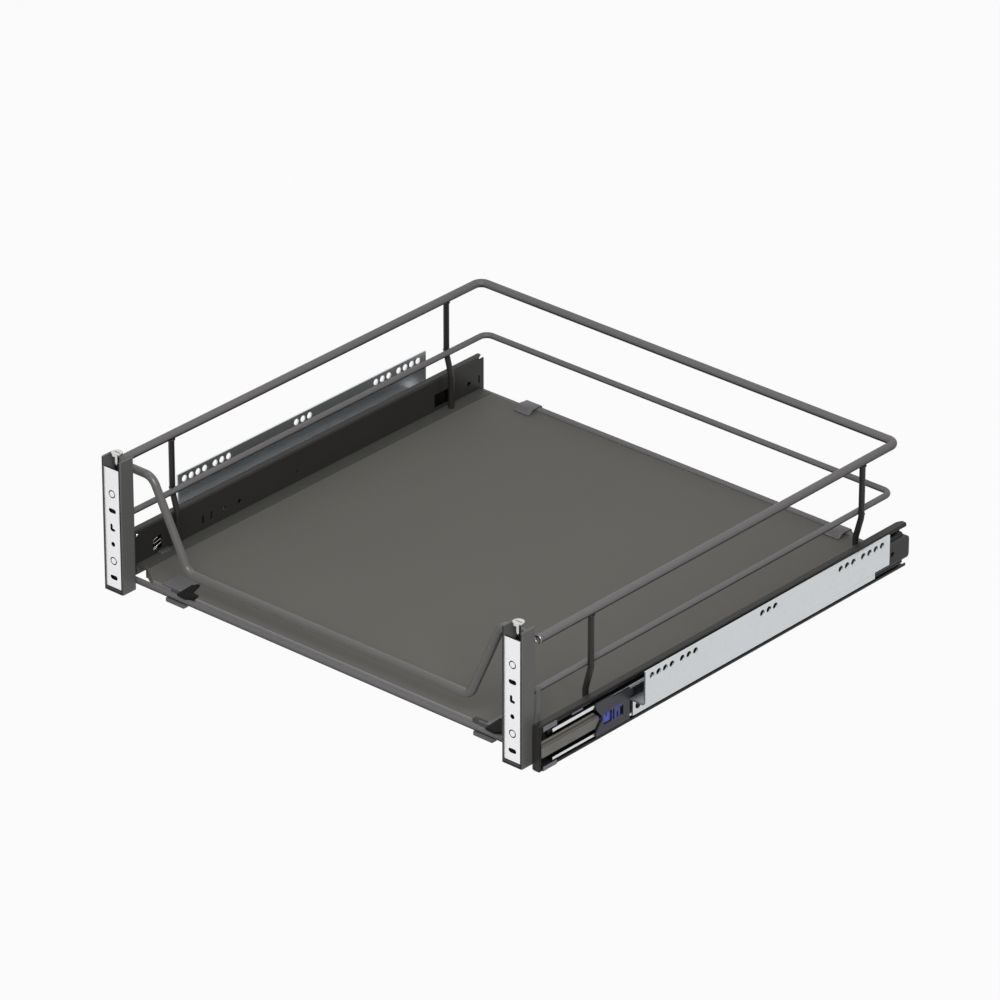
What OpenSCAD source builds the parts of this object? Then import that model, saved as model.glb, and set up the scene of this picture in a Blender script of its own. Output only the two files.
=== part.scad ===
// Telescopic pull-out drawer: a powder-coated floor and rails between two ball-bearing slides.
// Frame: X across, Y from the front to the rear, Z up. The two side profiles stand on Z = 0.

/* [Cabinet] */
// Clear width between the two cabinet walls
cabinet_w = 564; // [500:1:900]
// Gap from a wall to the lips of the drawer's side profile
wall_gap = 21; // [18:0.5:30]

/* [Side profiles] */
// Height of a side profile
profile_h = 45.2; // [42:0.1:50]
// Depth of a side profile across its flanges
profile_d = 9; // [9:0.1:12]
// Thickness of the side profile's sheet
profile_t = 1.2; // [0.8:0.1:1.4]
// How far a profile's lip turns in over the ball track
profile_lip = 3.6; // [2:0.1:4]
// Front end of the side profiles, behind the front of the posts
profile_y = 13; // [10:0.5:16]
// Length of the side profiles
profile_l = 506; // [480:1:600]
// Length of the slanting cut on the rear corner of a side profile's upper flange
profile_cut_l = 8; // [2:0.5:14]
// Width of that cut
profile_cut_w = 4; // [2:0.5:6]

/* [Slides] */
// Diameter of the balls between the side profile and the middle member
outer_ball_d = 5; // [3:0.1:5.4]
// Diameter of the balls between the middle and the cabinet member
inner_ball_d = 2.7; // [2.4:0.1:3]
// Running clearance on each side of a ball
ball_clear = 0.15; // [0.1:0.01:0.25]
// Thickness of the middle member's sheet
middle_t = 1.2; // [0.8:0.1:1.4]
// Gap between the webs that holds a ball cage
cage_gap = 1.5; // [1.3:0.1:2]
// Front end of the middle members
middle_y = 28; // [24:1:34]
// Length of the middle members
middle_l = 484; // [440:1:486]
// Depth of the cabinet member across its flanges
cabinet_member_d = 6.8; // [6.4:0.1:8]
// Front end of the cabinet members
cabinet_member_y = 136; // [132:1:150]
// Length of the cabinet members
cabinet_member_l = 383.5; // [340:0.5:383.5]
// Thickness of a ball cage's sheet
cage_t = 0.5; // [0.4:0.05:0.6]
// Number of balls in each row
balls_per_row = 8; // [4:1:10]
// Travel of the drawer
travel = 450; // [300:10:450]

/* [Wall brackets] */
// Sheet thickness of the wall brackets
bracket_t = 1.6; // [1.2:0.1:2.5]
// Front end of the wall plates
bracket_y = 128.5; // [128:0.5:140]
// Length of the wall plates
bracket_l = 340; // [340:1:360]
// Upper edge of the wall plates
bracket_top = 59.7; // [57.5:0.1:80]
// Underside of the shelf between wall plate and slide
bracket_shelf_z = 25.5; // [24:0.1:28]
// Lower edge of the flange that carries the cabinet member
bracket_foot_z = 9.2; // [8:0.1:14]
// Height of the row of fixing holes
wall_hole_z = 53.2; // [45:0.1:54]
// Diameter of the fixing holes
wall_hole_d = 6.4; // [5:0.1:6.8]
// Distance from the first fixing hole to the plate's front end
wall_hole_first = 8.7; // [6:0.1:9.5]
// Pitch of the fixing holes inside a group
wall_hole_pitch = 9; // [8.5:0.1:9.2]
// Diameter of the large hole at the front of a bracket's flange
flange_hole_d = 7.5; // [5:0.1:9]

/* [Posts] */
// Width of a post
post_w = 23.4; // [20:0.1:26]
// Depth of a post from front to rear
post_d = 18.5; // [16:0.1:20]
// Lower end of a post
post_z = 4.9; // [4:0.1:6.5]
// Upper end of a post
post_top = 139.2; // [134:0.1:141]
// Wall thickness of a post
post_t = 2; // [1.2:0.1:2.5]
// Gap between a post and the side profile's web
post_side_gap = 0.8; // [0.6:0.1:1]
// Thickness of the gusset that joins post and side profile
gusset_t = 1.2; // [0.8:0.1:1.5]
// How far the gusset reaches behind the post
gusset_d = 5.6; // [4:0.1:8]
// Upper end of the gusset
gusset_top = 78; // [70:0.5:115]

/* [Front panel carriers] */
// Thickness of the carrier plate in each post
carrier_t = 2; // [1.5:0.1:3]
// Lower end of the carrier plate
carrier_z = 9.2; // [9.2:0.1:12]
// Upper end of the carrier plate
carrier_top = 129.8; // [120:0.1:131]
// Running clearance between carrier and post walls
carrier_clear = 0.3; // [0.2:0.05:0.5]
// Distance of the carrier's face behind the post's front edges
carrier_y = 1; // [0.5:0.1:2]
// Height of the lowest carrier hole
carrier_hole_z = 19.3; // [17:0.1:20]
// Pitch of the carrier holes
carrier_pitch = 17; // [15:0.1:17.4]
// Diameter of the round carrier hole
carrier_hole_d = 4.7; // [3:0.1:6]
// Width of the oval carrier slots
carrier_slot_w = 8.8; // [7:0.1:12]
// Height of the oval carrier slots
carrier_slot_h = 4.4; // [3:0.1:5]
// Diameter of the pressed rings on the carrier
carrier_ring_d = 8; // [6:0.1:10]
// Height of the carrier's lug on the adjusting screw
carrier_lug_z = 108; // [106:0.5:112]
// Height of the screw block's upper face
screw_block_z = 102; // [98:0.5:103]
// Distance from the carrier's rear face to the screw's axis
screw_offset = 6; // [5.5:0.1:6.5]
// Diameter of the adjusting screw
screw_d = 5; // [4:0.1:6]
// Diameter of the adjusting screw's head
screw_head_d = 10.7; // [9:0.1:14]
// Thickness of the adjusting screw's head
screw_head_t = 2.3; // [1.5:0.1:4]
// Top of the adjusting screw's head
screw_top = 143.8; // [143.5:0.1:150]

/* [Rails] */
// Outer diameter of the top rail
top_rail_d = 8.1; // [7:0.1:10]
// Wall thickness of the top rail
top_rail_wall = 0.9; // [0.6:0.1:1.5]
// Height of the top rail's centre line
top_rail_z = 125.5; // [118:0.1:130]
// Inset of the top rail's centre line from the side profile's web
top_rail_inset = 0.8; // [0.5:0.1:1.5]
// Diameter of the lower rail
lower_rail_d = 5.8; // [5:0.1:7]
// Height of the lower rail's centre line
lower_rail_z = 72.1; // [66:0.1:80]
// Distance from the side profile's rear end to the rails' rear centre line
rail_rear_inset = 5.4; // [5:0.1:8]
// Bend radius of the top and lower rails
rail_bend = 8.5; // [6:0.5:24]
// Front end of the top rail, behind the posts
top_rail_gap = 2.4; // [1:0.1:4]
// Diameter of the uprights
upright_d = 5.7; // [5:0.1:6.5]
// Distance from the post's front to the front pair of uprights
upright_front_y = 91; // [60:1:160]
// Distance from the post's front to the rear pair of uprights
upright_rear_y = 465; // [380:1:480]
// How far an upright steps inwards at the side profile
upright_step = 6; // [5.5:0.1:6.4]
// Lower end of an upright's step
upright_step_z = 46.5; // [44:0.5:50]
// Upper end of an upright's step
upright_bend_z = 68.5; // [62:0.5:68.5]

/* [Front rail] */
// Outer diameter of the front rail
front_rail_d = 8; // [7:0.1:9]
// Height of the front rail's upper ends
front_rail_top = 124.3; // [118:0.1:126]
// Height of the front rail's lower run
front_rail_low = 38.5; // [34:0.1:60]
// Length of the front rail's upper ends, up to their bends
front_rail_end_l = 38; // [30:0.5:50]
// How far the front rail's lower bends lie inside the upper ones
front_rail_slant = 40; // [24:0.5:60]
// Bend radius of the front rail
front_rail_bend = 13; // [10:0.5:20]
// How far the lower run lies behind the upper ends
front_rail_lean = 3; // [0:0.1:6]

/* [Floor] */
// Thickness of the floor board
board_t = 8; // [6:0.1:9]
// Height of the floor board's upper face
board_top = 12; // [11:0.1:13]
// Front edge of the floor board
board_y = 30; // [29.8:0.1:34]
// Rear edge of the floor board
board_rear = 513.3; // [450:0.1:513.4]
// Length of the board's front corner chamfers
board_chamfer_x = 19; // [4:0.5:40]
// Depth of the board's front corner chamfers
board_chamfer_y = 12; // [4:0.5:30]
// Width of the ledge between board and side profile
ledge_w = 13.8; // [12:0.1:30]
// Sheet thickness of the ledge
ledge_t = 1.2; // [0.8:0.1:1.5]
// Width of the ledge's foot under the board
ledge_foot = 10; // [6:0.5:20]
// Clearance round the board
board_clear = 0.2; // [0.1:0.05:0.5]
// Gap between the front crossbar and the board
front_bar_gap = 0.5; // [0.2:0.1:1]
// Diameter of the front and rear crossbars
crossbar_d = 6; // [5:0.1:6.4]
// Height of the front crossbar's centre line
front_bar_z = 7.8; // [6:0.1:9]
// Height of the rear crossbar's centre line
rear_bar_z = 12.5; // [11:0.1:14]
// How far the rear crossbar's ends step down
rear_bar_step = 4.5; // [3:0.1:6]
// Distance from a side profile's web to the rear crossbar's raised middle
rear_bar_inset = 54; // [46:0.5:60]

/* [Clips] */
// Width of a front clip's hook
front_clip_w = 21; // [14:0.5:24]
// Distance from the board's side to the middle of a front clip's hook
front_clip_inset = 52.5; // [44:0.5:110]
// Width of a rear clip
rear_clip_w = 17; // [14:0.5:20]
// Distance from the board's side to the middle of a rear clip
rear_clip_inset = 50; // [50:0.5:110]
// Sheet thickness of a clip
clip_t = 1.5; // [1:0.1:2]
// How far a clip reaches over the board
clip_reach = 16; // [10:1:24]
// Width of a front clip's leaf
leaf_w = 24; // [16:0.5:26]
// How far a front clip's leaf reaches over the board
leaf_reach = 22; // [14:0.5:26]
// Thickness of a front clip's leaf
leaf_t = 1.2; // [0.8:0.1:2]
// Width of the notch in the board's front edge at each front clip
board_notch_w = 30; // [25:0.5:40]
// Depth of that notch
board_notch_d = 6; // [4:0.5:10]
// Lip at the lower edge of a rear clip
clip_lip = 3; // [2:0.1:6]
// How far a front clip hangs below its crossbar
clip_drop = 3.8; // [2:0.1:4.5]

/* [Soft closing] */
// Front end of the damper housing
damper_y = 83.6; // [83:0.1:85]
// Length of the damper housing's tail inside the cabinet member
damper_tail_l = 100; // [80:1:140]
// Height of the damper housing's cover over the middle member's lips
cover_h = 31.6; // [30:0.1:33]
// Length of the taller head at the front of that cover
cover_head_l = 22.4; // [18:0.1:30]
// Length of the sliding catch
catch_l = 10.5; // [9:0.5:11]
// Height of the sliding catch
catch_h = 10.2; // [8:0.1:11]
// Travel of the sliding catch
catch_travel = 15; // [10:1:16]
// How far the catch lies below the axis of the slide
catch_drop = 2; // [0:0.1:2]
// Rear end of the striker plate on the drawer
striker_end = 89; // [84:0.5:89.5]
// How far the striker plate reaches below the axis of the slide
striker_low = 8; // [6:0.5:9]
// Height of the striker plate's fold above the axis of the slide
striker_fold_z = 2.8; // [1:0.1:4]
// Width and height of the slanting strip above that fold
striker_fold = 3; // [2:0.1:3.5]
// Thickness of the striker plate
striker_t = 1.5; // [1:0.1:2]
// Diameter of the damper cylinder
damper_d = 4; // [3.6:0.1:4.4]
// Diameter of the damper rod
damper_rod_d = 1.6; // [1.2:0.1:2]
// Length of the damper rod
damper_rod_l = 50; // [45:1:60]

/* [Hidden] */

// Side profile and slide section
web_x = cabinet_w / 2 - wall_gap - profile_d;
slide_z = profile_h / 2;
profile_rear = profile_y + profile_l;
corner_r = 2;
outer_play = outer_ball_d + 2 * ball_clear;
inner_play = inner_ball_d + 2 * ball_clear;
middle_h = profile_h - 2 * profile_t - 2 * outer_play;
middle_x = web_x + profile_t + cage_gap;
middle_rear = middle_y + middle_l;
member_h = middle_h - 2 * middle_t - 2 * inner_play;
member_t = middle_t;
member_x = middle_x + middle_t + cage_gap;
member_face = member_x + cabinet_member_d;
member_rear = cabinet_member_y + cabinet_member_l;
lip_gap = 0.6;
middle_d = member_face - member_t - lip_gap - middle_x;
middle_lip = middle_t + inner_play - lip_gap;

// Ball tracks, as distances from the axis of the slide
outer_row = middle_h / 2 + outer_play / 2;
inner_row = member_h / 2 + inner_play / 2;
cage_step = (cage_gap - cage_t) / 2;
cage_tip_gap = 0.4;
outer_cage_x = web_x + profile_t + cage_step;
outer_cage_reach = web_x + profile_d - profile_t - cage_tip_gap - outer_cage_x;
outer_ball_x = (outer_cage_x + cage_t + web_x + profile_d - profile_t) / 2;
inner_cage_x = middle_x + middle_t + cage_step;
inner_cage_reach = middle_x + middle_d - middle_t - cage_tip_gap - inner_cage_x;
inner_ball_x = (inner_cage_x + cage_t + middle_x + middle_d - middle_t) / 2;
ball_pocket = 0.2;
cage_windows = 4;

// A cage lags behind, so it starts and ends a quarter of the travel inside its tracks
cage_margin = 2;
outer_cage_y = middle_y + travel / 4 + cage_margin;
outer_cage_end = profile_rear - travel / 4 - cage_margin;
inner_cage_y = cabinet_member_y + travel / 4 + cage_margin;
inner_cage_end = middle_rear - travel / 4 - cage_margin;

// Openings in the side profile's web, as distances behind its front end
web_hole_list = [[31.5, 40.8, 2.2], [147.4, slide_z, 5], [167, slide_z, 4.5],
    [244.7, slide_z, 4], [profile_l - 21, slide_z, 5]];
web_slot_list = [118.5, 129.7, profile_l - 6.6];
web_slot_w = 2.6;
web_slot_h = 8;
window_h = 14;
cut_past = 0.5;
front_window = [52, 12];
rear_window = [profile_l - 70, 20];

// Posts, carriers and adjusting screws
post_outer = web_x - post_side_gap;
post_inner = post_outer - post_w;
post_mid = (post_outer + post_inner) / 2;
post_corner = 2.5;
post_front_corner = 1.6;
post_notch_z = top_rail_z - top_rail_d / 2;
carrier_w = post_w - 2 * post_t - 2 * carrier_clear;
screw_y = carrier_y + carrier_t + screw_offset;
screw_play = 0.05;
collar_d = 8;
collar_t = 1;
lug_t = 2;
lug_gap = 0.2;
lug_inset = 2;
block_h = 10;
block_gap = 1.5;
screw_tip = 2;
drive_slot_l = screw_head_d - 3;
drive_slot_w = 1.4;
drive_slot_depth = 1.2;
ring_w = 1.1;
ring_depth = 1;
l_slot_w = 5.8;
l_slot_h = 7.4;
l_slot_t = 2.8;
gusset_lift = 1.5;
gusset_rise = 2;

// Rails
rail_x = web_x - top_rail_inset;
rail_rear = profile_rear - rail_rear_inset;
lower_rail_x = rail_x - upright_d / 2 - lower_rail_d / 2;
lower_rail_set = 1.3;
foot_x = rail_x - upright_step;
stub_y = post_d + front_rail_d / 2;
stub_x = rail_x - top_rail_d / 2;
upright_bend = 20;
front_rail_upper_x = stub_x - front_rail_end_l;
front_rail_lower_x = front_rail_upper_x - front_rail_slant;

// Floor and clips
ledge_x = web_x - ledge_w;
ledge_top = board_top + 0.5;
ledge_low = board_top - board_t - ledge_t;
ledge_y = board_y + board_chamfer_y;
board_x = ledge_x - board_clear;
front_bar_y = board_y - front_bar_gap - crossbar_d / 2;
rear_bar_y = board_rear + board_clear + crossbar_d / 2;
bar_bend = 7;
rear_bar_slope = 7;
rear_bar_x = web_x - rear_bar_inset;
front_clip_x = board_x - front_clip_inset;
rear_clip_x = board_x - rear_clip_inset;
leaf_overlap = 13;
notch_margin = 0.8;
saddle_rise = 1;
clip_front_l = 4;
clip_r = 1.8;
clip_gap = 0.1;
hook_reach = 2;
clip_rear = rear_bar_y + crossbar_d / 2 + clip_gap + clip_t;

// Soft closing
housing_gap = 0.3;
housing_h = middle_h - 2 * middle_lip - 2 * housing_gap;
housing_lead = 2.4;
cover_x = middle_x + middle_d + housing_gap;
cover_end = bracket_y;
cover_head_rise = 2;
damper_wall = 1.2;
catch_gap = 0.4;
catch_d = 3.6;
catch_x = member_face - damper_wall - catch_gap - catch_d;
catch_z = slide_z - catch_drop;
striker_gap = 2.5;
front_wall = 2;
window_y = striker_end + striker_gap + front_wall;
window_rest = 1;
passage_h = 4;
damper_slots = [[12.3, 2.2, 10.8], [17.7, 2, 6.2], [22.1, 4.4, 9.5]];
rod_inset = 3.6;
rod_x = member_face - rod_inset;
tail_h = 12;
tail_wall = 4;
cylinder_gap = 0.05;
cylinder_end_gap = 0.5;
cylinder_cap = 5;
catch_slot = 2;

// Slide members' plain holes
flange_hole_y = 9.5;
member_hole_d = 5;
member_hole_inset = 23.7;
middle_hole_inset = 22;
middle_hole_d = 6;

// Wall brackets: fixing hole groups as [distance from the first hole, number of holes]
wall_groups = [[0, 4], [41, 3], [151, 3], [261, 3], [293, 4]];
rivet_list = [250, 345, 440];
rivet_z = slide_z - 5;
rivet_d = 4;
rivet_fit = 0.1;
rivet_head_d = 7;
rivet_head_t = 1;
bracket_bend = 2.4;
flange_set_back = 2.5;
notch_l = 20.5;
notch_z = bracket_shelf_z + 4;
end_r = 5;

// Stops at the front of the ball tracks, and the striker plate between them
stop_w = 3.4;
stop_l = 18;
stop_inset = 2;
stop_set_back = 3;
stop_gap = 0.2;
stop_bridge = 1.5;
stop_tab_t = 1;
stop_tab_h = 4.4;
lip_clip = [41, 14.5];
lip_clip_t = 0.8;
lip_clip_h = 1.8;
striker_tip_h = 4;
striker_point = 5;
striker_slope = (2 * striker_low - striker_tip_h) / 2 / striker_point;
striker_foot = 5;
notch_run = 10;

// The origin lies below the middle of the drawer
depth_mid = (clip_rear + clip_lip) / 2;
e = 0.01;
knuckle = 0.06;
knuckle_l = 0.6;
knuckle_gap = 0.1;
$fn = 64;

steel_dark = "#3a3a3a";
coat = "#5f5f5b";
zinc = "#c9cccd";
chrome = "#d8d8d6";

// Draws a right-hand piece, or its mirror image on the left
module side(left) {
    mirror([left ? 1 : 0, 0, 0]) children();
}

// Puts the front-based drawing into the part's own frame
module placed() {
    translate([0, -depth_mid, 0]) children();
}

// Extrudes a section drawn in X and Z from y0 to y1
module along_y(y0, y1) {
    translate([0, y1, 0]) rotate([90, 0, 0]) linear_extrude(y1 - y0) children();
}

// Extrudes an outline drawn in Y and Z from x0 to x1
module along_x(x0, x1) {
    translate([x0, 0, 0]) rotate([90, 0, 90]) linear_extrude(x1 - x0) children();
}

// A round hole or pin along X
module round_x(x0, x1, y, z, d) {
    translate([x0, y, z]) rotate([0, 90, 0]) cylinder(d = d, h = x1 - x0);
}

// A rectangle with four round corners
module round_rect(w, h, r) {
    translate([r, 0]) square([w - 2 * r, h]);
    translate([0, r]) square([w, h - 2 * r]);
    for (x = [r, w - r], y = [r, h - r]) translate([x, y]) circle(r);
}

// A lipped channel, open towards +X, centred on the axis of the slide
module channel(d, h, t, lip, r) {
    translate([0, slide_z - h / 2]) difference() {
        round_rect(d, h, r);
        translate([t, t]) round_rect(d - 2 * t, h - 2 * t, r - t);
        translate([d - t - r, lip]) square([t + r + e, h - 2 * lip]);
    }
}

// Direction and length of one stretch of a bent wire
function unit(a, b) = (b - a) / norm(b - a);
function heading(a, b) = atan2(b[1] - a[1], b[0] - a[0]);
function turn(p, i) = let (t = heading(p[i], p[i + 1]) - heading(p[i - 1], p[i]))
    t > 180 ? t - 360 : t < -180 ? t + 360 : t;
function cut_back(p, i, r) = (i == 0 || i == len(p) - 1) ? 0 : r * tan(abs(turn(p, i)) / 2);

// A round wire bent in one plane: straight stretches and bends of radius r, which meet inside a
// short knuckle that is a hair thicker than the wire
module bent_wire(p, r, d) {
    for (i = [0 : len(p) - 2]) {
        u = unit(p[i], p[i + 1]);
        start = p[i] + u * (i == 0 ? 0 : cut_back(p, i, r) + knuckle_gap);
        end = p[i + 1] - u * (i == len(p) - 2 ? 0 : cut_back(p, i + 1, r) + knuckle_gap);
        translate([start[0], start[1], 0]) rotate([0, 0, heading(start, end)])
            rotate([0, 90, 0]) cylinder(d = d, h = norm(end - start));
    }
    for (i = [1 : len(p) - 2]) {
        a = heading(p[i - 1], p[i]);
        s = turn(p, i) > 0 ? 1 : -1;
        start = p[i] - unit(p[i - 1], p[i]) * cut_back(p, i, r);
        end = p[i] + unit(p[i], p[i + 1]) * cut_back(p, i, r);
        centre = start + s * r * [-sin(a), cos(a)];
        first = s > 0 ? a - 90 : a + 90 + turn(p, i);
        translate([centre[0], centre[1], 0]) rotate([0, 0, first])
            rotate_extrude(angle = abs(turn(p, i))) translate([r, 0]) circle(d = d);
        for (k = [[start, a], [end, a + turn(p, i)]]) translate([k[0][0], k[0][1], 0])
            rotate([0, 0, k[1]]) rotate([0, 90, 0]) translate([0, 0, -knuckle_l / 2])
                cylinder(d = d + knuckle, h = knuckle_l);
    }
}

module wall_bracket(left) {
    wall_x = cabinet_w / 2;
    bend = bracket_t + bracket_bend;
    rear = bracket_y + bracket_l;
    color(zinc) side(left) placed() difference() {
        union() {
            along_y(bracket_y, rear) {
                translate([wall_x - bracket_t, bracket_shelf_z + bend])
                    square([bracket_t, bracket_top - bracket_shelf_z - bend]);
                translate([member_face, bracket_shelf_z])
                    square([wall_x - bend - member_face, bracket_t]);
                translate([wall_x - bend, bracket_shelf_z + bend]) intersection() {
                    difference() {
                        circle(bend);
                        circle(bend - bracket_t);
                    }
                    translate([0, -bend]) square(bend);
                }
            }
            along_y(bracket_y + flange_set_back, rear) translate([member_face, bracket_foot_z])
                square([bracket_t, bracket_shelf_z + bracket_t - bracket_foot_z]);
        }
        for (g = wall_groups, i = [0 : g[1] - 1])
            round_x(wall_x - bracket_t - 1, wall_x + 1,
                bracket_y + wall_hole_first + g[0] + i * wall_hole_pitch, wall_hole_z, wall_hole_d);
        for (y = rivet_list)
            round_x(member_face - 1, member_face + bracket_t + 1, y, rivet_z, rivet_d + rivet_fit);
        round_x(member_face - 1, member_face + bracket_t + 1, bracket_y + flange_hole_y, rivet_z,
            flange_hole_d);
        translate([member_face + bracket_t + e, rear - notch_l, bracket_foot_z])
            cube([wall_x - member_face, notch_l + 1, notch_z - bracket_foot_z]);
    }
}

module cabinet_member(left) {
    color(steel_dark) side(left) placed() difference() {
        along_y(cabinet_member_y, member_rear) translate([member_face, 0])
            mirror([1, 0]) channel(cabinet_member_d, member_h, member_t, member_t, corner_r);
        for (y = rivet_list)
            round_x(member_face - member_t - 1, member_face + 1, y, rivet_z, rivet_d + rivet_fit);
        round_x(member_face - member_t - 1, member_face + 1, member_rear - member_hole_inset,
            slide_z, member_hole_d);
        for (s = [0, 1]) along_x(member_x - 1, member_face + 1)
            translate([member_rear - end_r, slide_z + (s * 2 - 1) * (member_h / 2 - end_r)])
                mirror([0, 1 - s]) difference() {
                    square(end_r + 1);
                    circle(end_r);
                }
    }
}

module bracket_rivets(left) {
    color(zinc) side(left) placed() for (y = rivet_list) {
        round_x(member_face - member_t, member_face + bracket_t, y, rivet_z, rivet_d);
        round_x(member_face - member_t - rivet_head_t, member_face - member_t, y, rivet_z,
            rivet_head_d);
        round_x(member_face + bracket_t, member_face + bracket_t + rivet_head_t, y, rivet_z,
            rivet_head_d);
    }
}

// A block between the middle member's lips, with a cover outside them, a notch for the striker
// plate's point, a chamber for the catch, and a tail that holds the cylinder
module damper_housing(left) {
    tail_end = cabinet_member_y + damper_tail_l;
    x0 = member_x + housing_gap;
    block_y = damper_y + housing_lead;
    notch_y = striker_end + striker_gap;
    notch_end = striker_tip_h / 2 + notch_run * striker_slope;
    catch_low = catch_z - catch_h / 2 - catch_gap;
    chamber_h = catch_h + 2 * catch_gap;
    color("#2b2b2b") side(left) placed() difference() {
        union() {
            translate([x0, block_y, slide_z - housing_h / 2])
                cube([cover_x + e - x0, cabinet_member_y - block_y, housing_h]);
            translate([cover_x, damper_y, slide_z - cover_h / 2])
                cube([member_face - cover_x, cover_end - damper_y, cover_h]);
            translate([cover_x, damper_y, slide_z])
                cube([member_face - cover_x, cover_head_l, cover_h / 2 + cover_head_rise]);
            translate([x0, cabinet_member_y - e, slide_z - tail_h / 2])
                cube([cabinet_member_d - member_t - 2 * cylinder_gap - housing_gap,
                    damper_tail_l + e, tail_h]);
        }
        along_x(x0 - 1, member_face + 1) polygon([
            [notch_y - notch_run, slide_z - notch_end], [notch_y, slide_z - striker_tip_h / 2],
            [notch_y, slide_z + striker_tip_h / 2], [notch_y - notch_run, slide_z + notch_end]]);
        translate([catch_x - catch_gap, window_y, catch_low])
            cube([catch_d + 2 * catch_gap, catch_l + catch_travel + window_rest, chamber_h]);
        translate([member_face - damper_wall - 1, window_y, catch_low])
            cube([damper_wall + 2, catch_l + catch_gap, chamber_h]);
        for (g = damper_slots) translate([member_face - damper_wall - 1, window_y + g[0], catch_low])
            cube([damper_wall + 2, g[1], g[2]]);
        translate([catch_x, notch_y - 1, catch_z - passage_h / 2])
            cube([catch_d, front_wall + 2, passage_h]);
        translate([rod_x, window_y, catch_z]) rotate([-90, 0, 0])
            cylinder(d = damper_d + 2 * cylinder_gap, h = tail_end - tail_wall - window_y);
    }
}

module damper_cylinder(left) {
    start = window_y + catch_l + catch_travel + window_rest + cylinder_end_gap;
    end = cabinet_member_y + damper_tail_l - tail_wall - cylinder_end_gap;
    color(chrome) side(left) placed() translate([rod_x, start, catch_z])
        rotate([-90, 0, 0]) difference() {
            cylinder(d = damper_d, h = end - start);
            translate([0, 0, -1]) cylinder(d = damper_rod_d + 2 * cylinder_gap,
                h = end - start - cylinder_cap);
        }
}

module damper_rod(left) {
    color(chrome) side(left) placed() translate([rod_x, window_y + catch_l, catch_z])
        rotate([-90, 0, 0]) cylinder(d = damper_rod_d, h = damper_rod_l);
}

module damper_catch(left) {
    color("#5b6bb0") side(left) placed() difference() {
        translate([catch_x, window_y, catch_z - catch_h / 2]) cube([catch_d, catch_l, catch_h]);
        translate([catch_x - 1, window_y + (catch_l - catch_slot) / 2, catch_z])
            cube([catch_d + 2, catch_slot, catch_h]);
    }
}

module middle_member(left) {
    color(zinc) side(left) placed() difference() {
        along_y(middle_y, middle_rear) translate([middle_x, 0])
            channel(middle_d, middle_h, middle_t, middle_lip, corner_r);
        for (y = [middle_y + middle_hole_inset, middle_y + middle_l / 2,
            middle_rear - middle_hole_inset])
            round_x(middle_x - 1, middle_x + middle_t + 1, y, slide_z, middle_hole_d);
    }
}

// A ball cage: a thin channel whose flanges lie in the ball tracks
module cage(x, reach, row, y0, y1, ball_x, ball_d) {
    difference() {
        along_y(y0, y1) translate([x, slide_z - row - cage_t / 2]) difference() {
            square([reach, 2 * row + cage_t]);
            translate([cage_t, cage_t]) square([reach, 2 * row - cage_t]);
        }
        for (y = ball_places(y0, y1))
            translate([ball_x, y, slide_z - row - 1])
                cylinder(d = ball_d + ball_pocket, h = 2 * row + 2);
        along_x(x - 1, x + cage_t + 1) for (i = [0 : cage_windows - 1])
            translate([y0 + (i + 0.5) * (y1 - y0) / cage_windows, slide_z]) circle(row / 2);
    }
}

function ball_places(y0, y1) = [for (i = [0 : balls_per_row - 1])
    y0 + (i + 0.5) * (y1 - y0) / balls_per_row];

module ball_rows(row, y0, y1, ball_x, ball_d) {
    for (y = ball_places(y0, y1), s = [-1, 1])
        translate([ball_x, y, slide_z + s * row]) sphere(d = ball_d);
}

module inner_cage(left) {
    color(zinc) side(left) placed()
        cage(inner_cage_x, inner_cage_reach, inner_row, inner_cage_y, inner_cage_end,
            inner_ball_x, inner_ball_d);
}

module inner_balls(left) {
    color(chrome) side(left) placed()
        ball_rows(inner_row, inner_cage_y, inner_cage_end, inner_ball_x, inner_ball_d);
}

module outer_cage(left) {
    color(zinc) side(left) placed()
        cage(outer_cage_x, outer_cage_reach, outer_row, outer_cage_y, outer_cage_end,
            outer_ball_x, outer_ball_d);
}

module outer_balls(left) {
    color(chrome) side(left) placed()
        ball_rows(outer_row, outer_cage_y, outer_cage_end, outer_ball_x, outer_ball_d);
}

module side_profile(left) {
    cut0 = web_x - 1;
    cut1 = web_x + profile_t + cut_past;
    color(steel_dark) side(left) placed() difference() {
        union() {
            along_y(profile_y, profile_rear) translate([web_x, 0])
                channel(profile_d, profile_h, profile_t, profile_lip, corner_r);
            along_y(profile_y, profile_y + profile_t) translate([web_x, 0])
                round_rect(profile_d, profile_h, corner_r);
        }
        for (h = web_hole_list) round_x(cut0, cut1, profile_y + h[0], h[1], h[2]);
        for (y = web_slot_list) translate([cut0, profile_y + y - web_slot_w / 2,
            slide_z - web_slot_h / 2]) cube([cut1 - cut0, web_slot_w, web_slot_h]);
        for (w = [front_window, rear_window]) translate([cut0, profile_y + w[0],
            slide_z - window_h / 2]) cube([cut1 - cut0, w[1], window_h]);
        translate([0, 0, profile_h - corner_r]) linear_extrude(corner_r + 1) polygon([
            [web_x - 1, profile_rear - profile_cut_l * (1 + 1 / profile_cut_w)],
            [web_x + profile_cut_w, profile_rear], [web_x + profile_cut_w, profile_rear + 1],
            [web_x - 1, profile_rear + 1]]);
    }
}

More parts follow.
